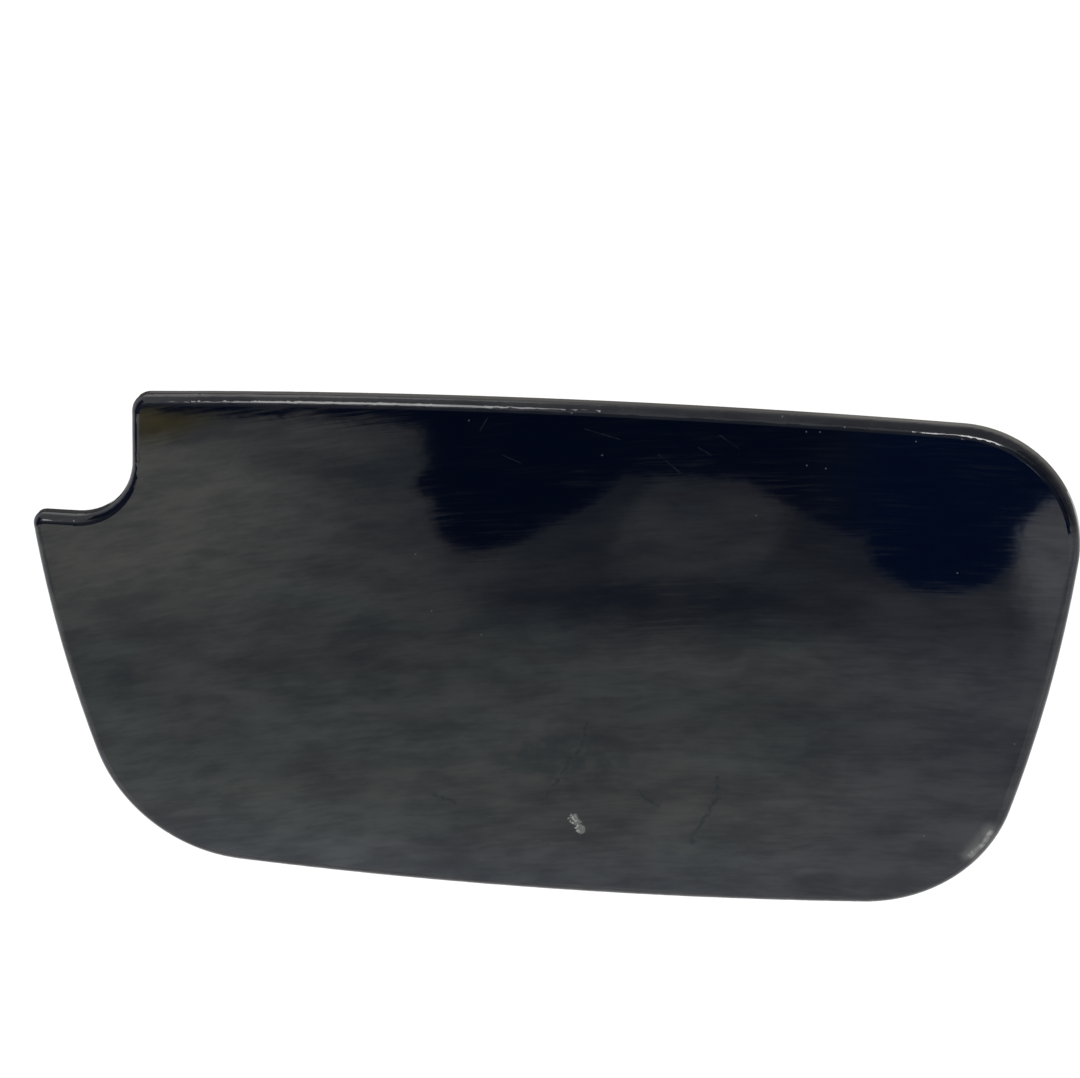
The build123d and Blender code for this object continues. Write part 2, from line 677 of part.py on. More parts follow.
# Rubber buffers that the shut door leans on
with BuildPart() as rubber_buffers:
    with BuildSketch(behind(BOSS_DEPTH + BUFFER_HEIGHT)):
        with Locations(*buffer_places):
            Circle(BUFFER_RADIUS)
    extrude(amount=BUFFER_HEIGHT)
    fillet(rubber_buffers.faces().group_by(Axis.Y)[-1].edges(), BUFFER_DOME)
    with BuildSketch(behind(BOSS_DEPTH)):
        with Locations(*buffer_places):
            Circle(BUFFER_STEM_RADIUS)
    extrude(amount=BUFFER_STEM)

# Moulded holder for the filler cap: a pocket that is open at the top, with a slot for the cap's neck
holder_back = BOSS_DEPTH + HOLDER_WALL + HOLDER_POCKET_DEPTH
body_left = holder_right - HOLDER_WIDTH / 2 + HOLDER_EAR
body_right = holder_right + HOLDER_WIDTH / 2 - HOLDER_EAR
pocket_left = body_left + HOLDER_WALL
pocket_right = body_right - HOLDER_WALL
pocket_low = HOLDER_RISE - HOLDER_POCKET_HEIGHT / 2
pocket_high = HOLDER_RISE + HOLDER_POCKET_HEIGHT / 2

with BuildSketch() as holder_body:
    rectangle_between(body_left, body_right, pocket_low - HOLDER_WALL, pocket_high)
    fillet(holder_body.vertices().group_by(Axis.Y)[0], HOLDER_CORNER)

with BuildSketch() as holder_pocket:
    rectangle_between(pocket_left, pocket_right, pocket_low, pocket_high)
    fillet(holder_pocket.vertices().group_by(Axis.Y)[0], HOLDER_CORNER - HOLDER_WALL)

with BuildSketch() as holder_face:
    add(holder_body.sketch_local)
    with Locations((holder_right, HOLDER_RISE)):
        Circle(HOLDER_SLOT_RADIUS, mode=Mode.SUBTRACT)
    slot_left = holder_right - HOLDER_SLOT_RADIUS
    slot_right = holder_right + HOLDER_SLOT_RADIUS
    rectangle_between(slot_left, slot_right, HOLDER_RISE, pocket_high, mode=Mode.SUBTRACT)
    for side in (slot_left, slot_right):
        fillet(holder_face.vertices().sort_by_distance((side, pocket_high))[0], HOLDER_MOUTH_RADIUS)

with BuildPart() as cap_holder:
    with BuildSketch(behind(BOSS_DEPTH + HOLDER_WALL)):
        with Locations((holder_right, HOLDER_RISE)):
            RectangleRounded(HOLDER_WIDTH, HOLDER_FOOT_HEIGHT, HOLDER_CORNER)
        add(holder_body.sketch_local)
        with Locations(*holder_screw_places):
            Circle(TAPPING_RADIUS + TAPPING_CLEARANCE, mode=Mode.SUBTRACT)
    extrude(amount=HOLDER_WALL)
    with BuildSketch(behind(holder_back)):
        add(holder_body.sketch_local)
        add(holder_pocket.sketch_local, mode=Mode.SUBTRACT)
    extrude(amount=HOLDER_POCKET_DEPTH)
    with BuildSketch(behind(holder_back + HOLDER_WALL)):
        add(holder_face.sketch_local)
    extrude(amount=HOLDER_WALL)


def tapping_screws(places, sheet):
    """Socket-head tapping screws through a sheet into the frame's bosses."""
    seat = BOSS_DEPTH + sheet
    with BuildPart() as screws:
        with BuildSketch(behind(seat)):
            with Locations(*places):
                Circle(TAPPING_RADIUS)
        extrude(amount=sheet + TAPPING_LENGTH - STRIKER_SHEET)
        with BuildSketch(behind(seat + TAPPING_HEAD)):
            with Locations(*places):
                Circle(TAPPING_HEAD_RADIUS)
        extrude(amount=TAPPING_HEAD)
        with BuildSketch(behind(seat + TAPPING_HEAD)):
            with Locations(*places):
                RegularPolygon(TAPPING_SOCKET, 6, major_radius=False)
        extrude(amount=TAPPING_SOCKET_DEPTH, mode=Mode.SUBTRACT)
    return screws


striker_screws = tapping_screws(striker_screw_places, STRIKER_SHEET)
cap_holder_screws = tapping_screws(holder_screw_places, HOLDER_WALL)

pieces = {
    "outer_panel": outer_panel,
    "inner_frame": inner_frame,
    "push_nuts": push_nuts,
    "hinge_arm": hinge_arm,
    "hinge_bushes": hinge_bushes,
    "threaded_inserts": threaded_inserts,
    "arm_washers": arm_washers,
    "arm_screws": arm_screws,
    "hinge_bracket": hinge_bracket,
    "hinge_pin": hinge_pin,
    "pin_washer": pin_washer,
    "pin_clip": pin_clip,
    "torsion_spring": torsion_spring,
    "open_stop_pad": open_stop_pad,
    "striker": striker,
    "striker_screws": striker_screws,
    "rubber_buffers": rubber_buffers,
    "cap_holder": cap_holder,
    "cap_holder_screws": cap_holder_screws,
}
for name, piece in pieces.items():
    piece.part.label = name
    export_step(piece.part, f"parts/{name}.step")
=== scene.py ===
"""Looks of a gloss black car fuel door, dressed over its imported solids. The scene is in metres."""
import math

import bpy
from mathutils import Matrix, Vector


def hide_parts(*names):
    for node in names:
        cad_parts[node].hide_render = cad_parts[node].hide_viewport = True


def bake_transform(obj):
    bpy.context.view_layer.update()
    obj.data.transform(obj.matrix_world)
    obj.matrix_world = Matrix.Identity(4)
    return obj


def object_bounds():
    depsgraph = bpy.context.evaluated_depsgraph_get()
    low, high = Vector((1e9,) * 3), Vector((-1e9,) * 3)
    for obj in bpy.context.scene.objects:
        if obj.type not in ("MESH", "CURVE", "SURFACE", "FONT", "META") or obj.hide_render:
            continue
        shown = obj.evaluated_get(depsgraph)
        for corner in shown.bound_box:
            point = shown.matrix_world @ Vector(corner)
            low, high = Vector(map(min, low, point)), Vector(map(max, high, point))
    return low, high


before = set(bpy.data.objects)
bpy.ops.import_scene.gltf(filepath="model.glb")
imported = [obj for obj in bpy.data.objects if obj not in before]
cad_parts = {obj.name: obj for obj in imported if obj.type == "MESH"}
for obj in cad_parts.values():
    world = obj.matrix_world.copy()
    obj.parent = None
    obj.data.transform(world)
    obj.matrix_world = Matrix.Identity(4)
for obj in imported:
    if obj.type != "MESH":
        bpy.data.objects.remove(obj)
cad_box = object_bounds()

MM = 0.001


def grey(level):
    return (level, level, level, 1.0)


def even(size):
    return (size, size, size)


WHITE = grey(1.0)

# The view, with angles in degrees: the camera stands a little above, and to the right of straight on.
IMAGE_WIDTH = 1080
SENSOR_WIDTH = 36.0
FOCAL_PIXELS = 4011.4
VIEW_AZIMUTH = 12.13
VIEW_ELEVATION = 22.54
VIEW_ROLL = -2.69
VIEW_DISTANCE = 0.75
VIEW_AIM = Vector((-44.29, -27.5, 21.67)) * MM
CLIP_START, CLIP_END = 0.01, 50.0

# The stage
FLOOR_DROP = 0.25
FLOOR_HALF = 4.0
FLOOR_COLOUR = grey(0.86)
FLOOR_ROUGHNESS = 0.9
FLOOR_GLOW = 0.30
SKY_FOR_LIGHT = 0.8

# Lamps: azimuth and elevation in degrees, distance, width and height, and radiance
LAMPS = {
    "key_left": (-22.5, 40.0, 1.1, (0.24, 0.38), 8.0),
    "key_right": (14.2, 24.0, 1.1, (0.30, 0.18), 15.0),
    "rear_left": (226.0, 55.0, 1.32, (0.60, 0.60), 1.0),
}

# The spring on the hinge's axis, in frame millimetres
HINGE_X, HINGE_Y = 26.0, -15.0
COIL_RADIUS = 5.7
WIRE_RADIUS = 0.8
COIL_BOTTOM, COIL_TOP = -14.7, 11.0
COIL_TURNS = 7.25
COIL_START = math.radians(90)
TANG_BOTTOM, TANG_TOP = -18.7, 15.0
TANG_BEND = 1.2
POINTS_PER_TURN = 20
WIRE_BEVEL_STEPS = 3
WIRE_CURVE_STEPS = 2
WIRE_CURVE_ORDER = 3

# Colour sockets of the mix node
MIX_FIRST, MIX_SECOND, MIX_RESULT = 6, 7, 2


class Shading:
    """One procedural material, with short calls for the nodes that feed its shader."""

    def __init__(self, name):
        self.material = bpy.data.materials.new(name)
        self.material.use_nodes = True
        self.tree = self.material.node_tree
        self.shader = self.tree.nodes["Principled BSDF"]
        coordinates = self.node("ShaderNodeTexCoord")
        self.facing = coordinates.outputs["Normal"]
        self.place = self.vector("SCALE", coordinates.outputs["Object"], factor=1 / MM)

    def node(self, kind, **settings):
        made = self.tree.nodes.new(kind)
        for name, value in settings.items():
            setattr(made, name, value)
        return made

    def feed(self, socket, value):
        """Links a socket to another one, or gives it a constant."""
        if isinstance(value, bpy.types.NodeSocket):
            self.tree.links.new(value, socket)
        else:
            socket.default_value = value

    def feed_all(self, made, values):
        """Feeds a node's sockets in their order and returns its first output."""
        for socket, value in zip(made.inputs, values):
            self.feed(socket, value)
        return made.outputs[0]

    def math(self, operation, *values, clamp=False):
        return self.feed_all(self.node("ShaderNodeMath", operation=operation, use_clamp=clamp), values)

    def times(self, first, second):
        return self.math("MULTIPLY", first, second)

    def highest(self, first, second):
        return self.math("MAXIMUM", first, second)

    def sway(self, noise, reach):
        """Turns noise from 0 to 1 into a shift of half the reach either way."""
        return self.math("MULTIPLY_ADD", noise, reach, -reach / 2)

    def vector(self, operation, first, second=None, factor=None):
        made = self.node("ShaderNodeVectorMath", operation=operation)
        self.feed(made.inputs[0], first)
        if second is not None:
            self.feed(made.inputs[1], second)
        if factor is not None:
            made.inputs["Scale"].default_value = factor
        return made.outputs["Value" if operation in ("LENGTH", "DISTANCE") else "Vector"]

    def split(self, source):
        made = self.node("ShaderNodeSeparateXYZ")
        self.feed(made.inputs[0], source)
        return made.outputs

    def join(self, x, y, z):
        return self.feed_all(self.node("ShaderNodeCombineXYZ"), (x, y, z))

    def noise(self, grain, source=None, detail=3.0, roughness=0.55, distortion=0.0):
        """Smooth noise whose grain is given in millimetres along X, Y and Z."""
        made = self.node("ShaderNodeTexNoise")
        place = self.place if source is None else source
        self.feed(made.inputs["Vector"], self.vector("DIVIDE", place, grain))
        settings = {"Scale": 1.0, "Detail": detail, "Roughness": roughness, "Distortion": distortion}
        for name, value in settings.items():
            made.inputs[name].default_value = value
        return made.outputs["Fac"]

    def ease(self, value, low, high, to_low=0.0, to_high=1.0):
        """Goes smoothly from one level to another as value goes from low to high."""
        made = self.node("ShaderNodeMapRange", interpolation_type="SMOOTHSTEP")
        return self.feed_all(made, (value, low, high, to_low, to_high))

    def near(self, distance, span, strength=1.0):
        """Full strength where distance is below the span, and nothing above it."""
        return self.ease(distance, *span, strength, 0.0)

    def mix(self, factor, first, second):
        made = self.node("ShaderNodeMix", data_type="RGBA")
        self.feed(made.inputs["Factor"], factor)
        self.feed(made.inputs[MIX_FIRST], first)
        self.feed(made.inputs[MIX_SECOND], second)
        return made.outputs[MIX_RESULT]

    def ramp(self, value, stops):
        made = self.node("ShaderNodeValToRGB")
        self.feed(made.inputs["Fac"], value)
        elements = made.color_ramp.elements
        while len(elements) < len(stops):
            elements.new(0.5)
        for element, (position, colour) in zip(elements, stops):
            element.position = position
            element.color = colour
        return made.outputs["Color"]

    def bump(self, height, distance=1.0, strength=1.0):
        """A surface relief: distance is in millimetres for a height of 1."""
        made = self.node("ShaderNodeBump")
        made.inputs["Strength"].default_value = strength
        made.inputs["Distance"].default_value = distance * MM
        self.feed(made.inputs["Height"], height)
        return made.outputs["Normal"]

    def set(self, **values):
        """Feeds the shader's sockets; base_color stands for Base Color, and so on."""
        for name, value in values.items():
            self.feed(self.shader.inputs[name.replace("_", " ").title()], value)
        return self.material


def segment_group():
    """A node group that gives the distance from a point to a segment."""
    tree = bpy.data.node_groups.new("segment_distance", "ShaderNodeTree")
    for name in ("Point", "From", "To"):
        tree.interface.new_socket(name, in_out="INPUT", socket_type="NodeSocketVector")
    tree.interface.new_socket("Distance", in_out="OUTPUT", socket_type="NodeSocketFloat")
    start = tree.nodes.new("NodeGroupInput")
    end = tree.nodes.new("NodeGroupOutput")

    def vector(operation, first, second):
        made = tree.nodes.new("ShaderNodeVectorMath")
        made.operation = operation
        tree.links.new(first, made.inputs[0])
        tree.links.new(second, made.inputs["Scale"] if operation == "SCALE" else made.inputs[1])
        return made.outputs["Value" if operation in ("DOT_PRODUCT", "DISTANCE") else "Vector"]

    along = vector("SUBTRACT", start.outputs["To"], start.outputs["From"])
    away = vector("SUBTRACT", start.outputs["Point"], start.outputs["From"])
    share = tree.nodes.new("ShaderNodeMath")
    share.operation = "DIVIDE"
    share.use_clamp = True
    tree.links.new(vector("DOT_PRODUCT", away, along), share.inputs[0])
    tree.links.new(vector("DOT_PRODUCT", along, along), share.inputs[1])
    nearest = vector("SCALE", along, share.outputs[0])
    tree.links.new(vector("DISTANCE", away, nearest), end.inputs["Distance"])
    return tree


SEGMENT = segment_group()


def nearest_segment(shading, point, segments):
    """Distance from a point to the nearest of several segments."""
    nearest = None
    for (from_x, from_z), (to_x, to_z) in segments:
        made = shading.node("ShaderNodeGroup", node_tree=SEGMENT)
        shading.feed(made.inputs["Point"], point)
        made.inputs["From"].default_value = (from_x, 0.0, from_z)
        made.inputs["To"].default_value = (to_x, 0.0, to_z)
        away = made.outputs[0]
        nearest = away if nearest is None else shading.math("MINIMUM", nearest, away)
    return nearest


def nearest_spot(shading, point, spots):
    """Distance from a point to the nearest of several spots."""
    nearest = None
    for spot_x, spot_z in spots:
        away = shading.vector("DISTANCE", point, (spot_x, 0.0, spot_z))
        nearest = away if nearest is None else shading.math("MINIMUM", nearest, away)
    return nearest


# Where the paint is worn and stained, and the corner where a highlight is painted on: frame X and Z in
# millimetres
SCRATCHES = [
    ((-55.0, 42.5), (-53.5, 45.0)), ((-51.0, 38.0), (-47.5, 36.5)), ((-10.0, 43.0), (-6.5, 40.5)),
    ((-21.5, 39.0), (-17.5, 35.5)), ((-14.0, 40.5), (-11.5, 39.0)), ((-105.0, 32.0), (-101.0, 38.0)),
    ((-116.0, -26.5), (-112.5, -29.5)), ((-35.0, 43.5), (-28.0, 41.5)), ((48.5, 31.0), (50.5, 31.0)),
]
SPECKS = [
    (-57.0, 44.5), (-32.0, 38.5), (1.5, 46.5), (6.0, 44.0), (8.5, 44.0), (13.0, 45.0), (26.0, 42.5),
    (6.0, 37.5), (9.5, 37.0), (33.5, 17.0), (44.0, -17.5), (27.0, -37.5), (-56.5, 1.5), (-66.0, 6.0),
    (-37.5, 46.5), (-3.5, 27.5), (-68.5, 17.5),
]
HAIRLINES = [
    ((-37.0, -16.0), (-37.6, -19.5)), ((-37.6, -19.5), (-40.5, -24.0)), ((-40.5, -24.0), (-46.0, -33.0)),
    ((-12.0, -26.5), (-13.0, -32.0)), ((-13.0, -32.0), (-15.5, -36.5)), ((-15.5, -36.5), (-18.0, -41.0)),
    ((-63.5, -34.5), (-68.0, -33.0)), ((-24.0, -33.0), (-27.5, -30.0)),
]
CHIP = [((-40.3, -36.7), (-39.9, -37.5)), ((-39.4, -38.9), (-39.0, -39.2))]
# The scuffed corner: worn paint with a painted highlight along it
SCUFF_AND_HIGHLIGHT_LINE = [((39.5, -36.2), (38.1, -38.9)), ((38.1, -38.9), (35.7, -41.5))]
SMUDGE_CENTRE = (-41.0, 0.0, -24.0)
SMUDGE_REACH = (19.0, 1.0, 10.0)

# How a mark looks: the span from its line in which it fades, in millimetres or in shares of the smudge's
# reach, its strength, and the levels of noise that break it up
SCRATCH_LOOK = dict(span=(0.02, 0.12), strength=0.13, breaks=(0.30, 0.62))
# The scuff is wear with a painted highlight, and its halo is a painted glow around it
SCUFF_AND_HIGHLIGHT_LOOK = dict(span=(0.0, 1.0), strength=0.85, breaks=(0.35, 0.60, 0.5, 1.0))
HIGHLIGHT_HALO_LOOK = dict(span=(0.2, 2.8), strength=0.22, breaks=(0.35, 0.60, 0.4, 1.0))
HAIRLINE_LOOK = dict(span=(0.10, 0.60), strength=0.85, breaks=(0.32, 0.58))
SMUDGE_LOOK = dict(span=(0.3, 1.1), strength=0.6, breaks=(0.35, 0.65))
SPECK_LOOK = dict(span=(0.06, 0.22), strength=0.60)
CHIP_SPAN = (0.55, 1.05)
CHIP_CRUMBS = (0.50, 0.62)
CHIP_RAGGED = 2.6
STAIN_WANDER_X, STAIN_WANDER_Z = 3.0, 1.0

# Paint: a deep blue-black under a film that has been wiped many times
PAINT_COLOUR = (0.0008, 0.0020, 0.0066, 1.0)
HAZE_COLOUR = (0.0085, 0.0095, 0.0110, 1.0)
SCRATCH_COLOUR = (0.085, 0.090, 0.095, 1.0)
CHIP_COLOUR = (0.085, 0.09, 0.085, 1.0)
# Pale bare paint, in the chip and as the painted highlight on the scuffed corner
CHIP_AND_HIGHLIGHT_BRIGHT = (0.27, 0.27, 0.255, 1.0)
FILM_TINT = grey(0.66)
STAIN_TINT = (0.48, 0.60, 0.62, 1.0)
PAINT_ROUGHNESS = 0.045
HAZE_ROUGHNESS = 0.08
MARK_ROUGHNESS = 0.40
BACK_ROUGHNESS = 0.36
FRONT_TURN = (-0.4, -0.1)
BACK_TURN = (0.2, 0.5)
WIPE_BEND = 0.0008
WIPE_TOP_X = 20.0
WIPE_WAVE = 1.2
HAZE_SHARE = 0.2
HAZE_FINE = (0.45, 0.70)
HAZE_MOTTLE = (0.35, 0.75)
FILM_STREAKS, FILM_MOTTLE = 0.3, 0.7
FILM_SPAN = (0.34, 0.64)

# Heights of the paint's relief in millimetres
BROAD_WIPE = 0.0024
FINE_WIPE = 0.0011
PEEL = 0.0035

# Noises of the paint
WAVE_NOISE = dict(grain=even(11.0), detail=0.0)
BROAD_NOISE = dict(grain=(24.0, 24.0, 1.6), detail=2.0, roughness=0.6)
FINE_NOISE = dict(grain=(11.0, 11.0, 0.5), detail=1.0, roughness=0.5)
MOTTLE_NOISE = dict(grain=(14.0, 14.0, 5.0), detail=4.0, roughness=0.62)
STREAK_NOISE = dict(grain=(7.0, 7.0, 0.85), detail=3.0, roughness=0.6)
PEEL_NOISE = dict(grain=even(2.6), detail=1.0)
CRUMB_NOISE = dict(grain=even(0.55), detail=2.0, roughness=0.7)
LUMP_NOISE = dict(grain=even(1.3), detail=2.0)
DRIFT_NOISE = dict(grain=even(3.5), detail=2.0)


def mark(shading, distance, noise, span, strength, breaks):
    """How strong a mark is at a distance from its line, broken up by a noise."""
    return shading.times(shading.near(distance, span, strength), shading.ease(noise, *breaks))


def body_paint():
    """Gloss paint with wipe marks, scratches, specks, a chip, a scuffed corner with a painted highlight,
    and dried stains.
    """
    shading = Shading("body_paint")
    x, y, z = shading.split(shading.place)
    flat = shading.join(x, 0.0, z)
    turn = shading.split(shading.facing)[1]
    back = shading.ease(turn, *BACK_TURN)
    front = shading.near(turn, FRONT_TURN)

    # Wipe marks follow long shallow arcs across the door and leave a haze.
    aside = shading.math("SUBTRACT", x, WIPE_TOP_X)
    bent = shading.math("MULTIPLY_ADD", shading.times(aside, aside), WIPE_BEND, z)
    bent = shading.math("MULTIPLY_ADD", shading.noise(**WAVE_NOISE), WIPE_WAVE, bent)
    wiped = shading.join(x, y, bent)
    broad = shading.noise(source=wiped, **BROAD_NOISE)
    fine = shading.noise(source=wiped, **FINE_NOISE)
    mottle = shading.noise(source=wiped, **MOTTLE_NOISE)
    haze = shading.times(shading.ease(fine, *HAZE_FINE), shading.ease(mottle, *HAZE_MOTTLE))

    # Scratches and specks are thin and pale; the chip is bare, and the scuff is bare paint under a painted
    # highlight with a soft painted glow around it.
    crumbs = shading.noise(**CRUMB_NOISE)
    lumps = shading.noise(**LUMP_NOISE)
    drift = shading.noise(**DRIFT_NOISE)
    scratches = mark(shading, nearest_segment(shading, flat, SCRATCHES), lumps, **SCRATCH_LOOK)
    specks = shading.near(nearest_spot(shading, flat, SPECKS), **SPECK_LOOK)
    thin = shading.times(shading.highest(scratches, specks), front)
    ragged = shading.join(shading.sway(crumbs, CHIP_RAGGED), 0.0, shading.sway(lumps, CHIP_RAGGED))
    ragged = shading.vector("ADD", flat, ragged)
    chip = shading.times(shading.near(nearest_segment(shading, ragged, CHIP), CHIP_SPAN), front)
    # Wear and a painted highlight along the scuffed corner, with a soft painted glow around them
    from_scuff_and_highlight = nearest_segment(shading, flat, SCUFF_AND_HIGHLIGHT_LINE)
    worn_and_highlight = mark(shading, from_scuff_and_highlight, lumps, **SCUFF_AND_HIGHLIGHT_LOOK)
    highlight_halo = mark(shading, from_scuff_and_highlight, drift, **HIGHLIGHT_HALO_LOOK)
    scuff_and_highlight = shading.times(shading.highest(worn_and_highlight, highlight_halo), front)
    bare_and_highlight = shading.highest(chip, scuff_and_highlight)

    # Dried stains are a few wandering hairlines and one soft smudge.
    wander = shading.join(shading.sway(drift, STAIN_WANDER_X), 0.0, shading.sway(lumps, STAIN_WANDER_Z))
    wander = shading.vector("ADD", flat, wander)
    hair = mark(shading, nearest_segment(shading, wander, HAIRLINES), lumps, **HAIRLINE_LOOK)
    off_centre = shading.vector("SUBTRACT", wander, SMUDGE_CENTRE)
    off_centre = shading.vector("LENGTH", shading.vector("DIVIDE", off_centre, SMUDGE_REACH))
    smudge = mark(shading, off_centre, drift, **SMUDGE_LOOK)
    stain = shading.times(shading.highest(hair, smudge), front)

    colour = shading.mix(shading.times(haze, HAZE_SHARE), PAINT_COLOUR, HAZE_COLOUR)
    colour = shading.mix(thin, colour, SCRATCH_COLOUR)
    chipped = shading.mix(shading.ease(crumbs, *CHIP_CRUMBS), CHIP_COLOUR, CHIP_AND_HIGHLIGHT_BRIGHT)
    colour = shading.mix(chip, colour, chipped)
    # The scuffed corner is painted pale: wear and a painted highlight
    colour = shading.mix(scuff_and_highlight, colour, CHIP_AND_HIGHLIGHT_BRIGHT)
    rough = shading.math("MULTIPLY_ADD", haze, HAZE_ROUGHNESS, PAINT_ROUGHNESS)
    rough = shading.math("MULTIPLY_ADD", shading.highest(thin, bare_and_highlight), MARK_ROUGHNESS, rough)
    rough = shading.math("MULTIPLY_ADD", back, BACK_ROUGHNESS, rough, clamp=True)
    height = shading.math("MULTIPLY_ADD", broad, BROAD_WIPE, shading.times(fine, FINE_WIPE))
    height = shading.math("MULTIPLY_ADD", shading.noise(**PEEL_NOISE), PEEL, height)

    # A wiped film dulls the gloss in short streaks and soft patches.
    streaks = shading.noise(source=wiped, **STREAK_NOISE)
    film = shading.math("ADD", shading.times(streaks, FILM_STREAKS), shading.times(mottle, FILM_MOTTLE))
    film = shading.times(shading.near(film, FILM_SPAN), front)
    tint = shading.mix(film, WHITE, FILM_TINT)
    tint = shading.mix(stain, tint, STAIN_TINT)
    return shading.set(base_color=colour, specular_tint=tint, roughness=rough, normal=shading.bump(height))


# Plain finishes: a colour and a roughness that cloud over between two levels, and a fine relief. Two of
# them have a veil of a third colour.
FINISHES = {
    # Black glass-filled plastic: matt, with a spark-eroded grain, paler flow marks and fibres
    "frame_plastic": dict(
        cloud=dict(grain=(28.0, 9.0, 14.0), detail=3.0, distortion=0.6),
        spread=(0.35, 0.70),
        colours=((0.0105, 0.0105, 0.0110, 1.0), (0.0190, 0.0190, 0.0195, 1.0)),
        roughness=(0.42, 0.22),
        relief=dict(grain=even(0.35), detail=2.0),
        relief_height=0.02,
        relief_strength=0.7,
        veil=dict(grain=(1.6, 0.35, 0.35), detail=2.0),
        veil_spread=(0.60, 0.78, 0.0, 0.35),
        veil_colour=(0.040, 0.040, 0.041, 1.0),
    ),
    # Zinc-plated pressed steel with rolling lines and a faint clear chromate tint
    "zinc_steel": dict(
        cloud=dict(grain=even(7.0), detail=4.0, roughness=0.65),
        spread=(0.30, 0.70),
        colours=((0.38, 0.39, 0.40, 1.0), (0.58, 0.585, 0.58, 1.0)),
        roughness=(0.20, 0.24),
        relief=dict(grain=(0.9, 9.0, 9.0), detail=2.0),
        relief_height=0.006,
        relief_strength=0.6,
        metallic=1.0,
        veil=dict(grain=even(16.0), detail=2.0, distortion=0.8),
        veil_spread=(0.50, 0.72, 0.0, 0.45),
        veil_colour=(0.62, 0.58, 0.46, 1.0),
    ),
    # Dark oil-hardened steel with fine drawn lines and a little wear
    "spring_steel": dict(
        cloud=dict(grain=even(4.0), detail=4.0, roughness=0.7),
        spread=(0.35, 0.72),
        colours=((0.085, 0.088, 0.095, 1.0), grey(0.205)),
        roughness=(0.22, 0.25),
        relief=dict(grain=(0.5, 0.5, 0.12), detail=2.0),
        relief_height=0.006,
        relief_strength=0.6,
        metallic=1.0,
    ),
    # Turned brass, slightly tarnished
    "insert_brass": dict(
        cloud=dict(grain=even(1.8), detail=4.0),
        spread=(0.40, 0.72),
        colours=((0.73, 0.53, 0.22, 1.0), (0.45, 0.30, 0.12, 1.0)),
        roughness=(0.18, 0.25),
        relief=dict(grain=(6.0, 0.10, 6.0), detail=1.0),
        relief_height=0.008,
        relief_strength=0.7,
        metallic=1.0,
    ),
    # Natural acetal: milky, smooth, a little greyed by grease
    "bush_plastic": dict(
        cloud=dict(grain=even(2.5), detail=3.0),
        spread=(0.48, 0.75),
        colours=((0.74, 0.73, 0.68, 1.0), (0.50, 0.48, 0.42, 1.0)),
        roughness=(0.48, -0.20),
        relief=dict(grain=even(0.25), detail=1.0),
        relief_height=0.006,
        relief_strength=0.5,
    ),
    # Moulded rubber with a dull bloom
    "black_rubber": dict(
        cloud=dict(grain=even(3.5), detail=4.0, roughness=0.65),
        spread=(0.42, 0.76),
        colours=(grey(0.013), (0.038, 0.037, 0.036, 1.0)),
        roughness=(0.62, 0.22),
        relief=dict(grain=even(0.3), detail=2.0),
        relief_height=0.02,
        relief_strength=0.6,
    ),
}


def finish(name, cloud, spread, colours, roughness, relief, relief_height, relief_strength, metallic=0.0,
           veil=None, veil_spread=None, veil_colour=None):
    """A material from its entry in the table of finishes."""
    shading = Shading(name)
    clouds = shading.noise(**cloud)
    colour = shading.mix(shading.ease(clouds, *spread), *colours)
    if veil is not None:
        colour = shading.mix(shading.ease(shading.noise(**veil), *veil_spread), colour, veil_colour)
    least, clouded = roughness
    return shading.set(
        base_color=colour,
        roughness=shading.math("MULTIPLY_ADD", clouds, clouded, least),
        normal=shading.bump(shading.noise(**relief), relief_height, relief_strength),
        metallic=metallic,
    )


NODE_FINISH = {
    "body_paint": ["outer_panel"],
    "frame_plastic": ["inner_frame", "cap_holder"],
    "bush_plastic": ["hinge_bushes"],
    "spring_steel": ["push_nuts", "torsion_spring", "pin_clip"],
    "zinc_steel": [
        "hinge_arm", "hinge_bracket", "hinge_pin", "pin_washer", "arm_washers", "arm_screws", "striker",
        "striker_screws", "cap_holder_screws",
    ],
    "insert_brass": ["threaded_inserts"],
    "black_rubber": ["rubber_buffers", "open_stop_pad"],
}


def dress_nodes(materials):
    """Gives each solid of the frame its material."""
    for name, nodes in NODE_FINISH.items():
        for node in nodes:
            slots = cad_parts[node].data.materials
            slots.clear()
            slots.append(materials[name])


def spring_path():
    """Centre line of the shutting spring, from its tang in the bracket up to its tang in the arm."""
    steps = round(COIL_TURNS * POINTS_PER_TURN)
    coil = []
    for step in range(steps + 1):
        share = step / steps
        angle = COIL_START + share * COIL_TURNS * math.tau
        x = HINGE_X + COIL_RADIUS * math.cos(angle)
        y = HINGE_Y + COIL_RADIUS * math.sin(angle)
        coil.append((x, y, COIL_BOTTOM + share * (COIL_TOP - COIL_BOTTOM)))
    low_x, low_y, low_z = coil[0]
    high_x, high_y, high_z = coil[-1]
    below = [(low_x, low_y, z) for z in (TANG_BOTTOM, TANG_BOTTOM + TANG_BEND, low_z - TANG_BEND)]
    above = [(high_x, high_y, z) for z in (high_z + TANG_BEND, TANG_TOP - TANG_BEND, TANG_TOP)]
    return [Vector(point) * MM for point in below + coil + above]


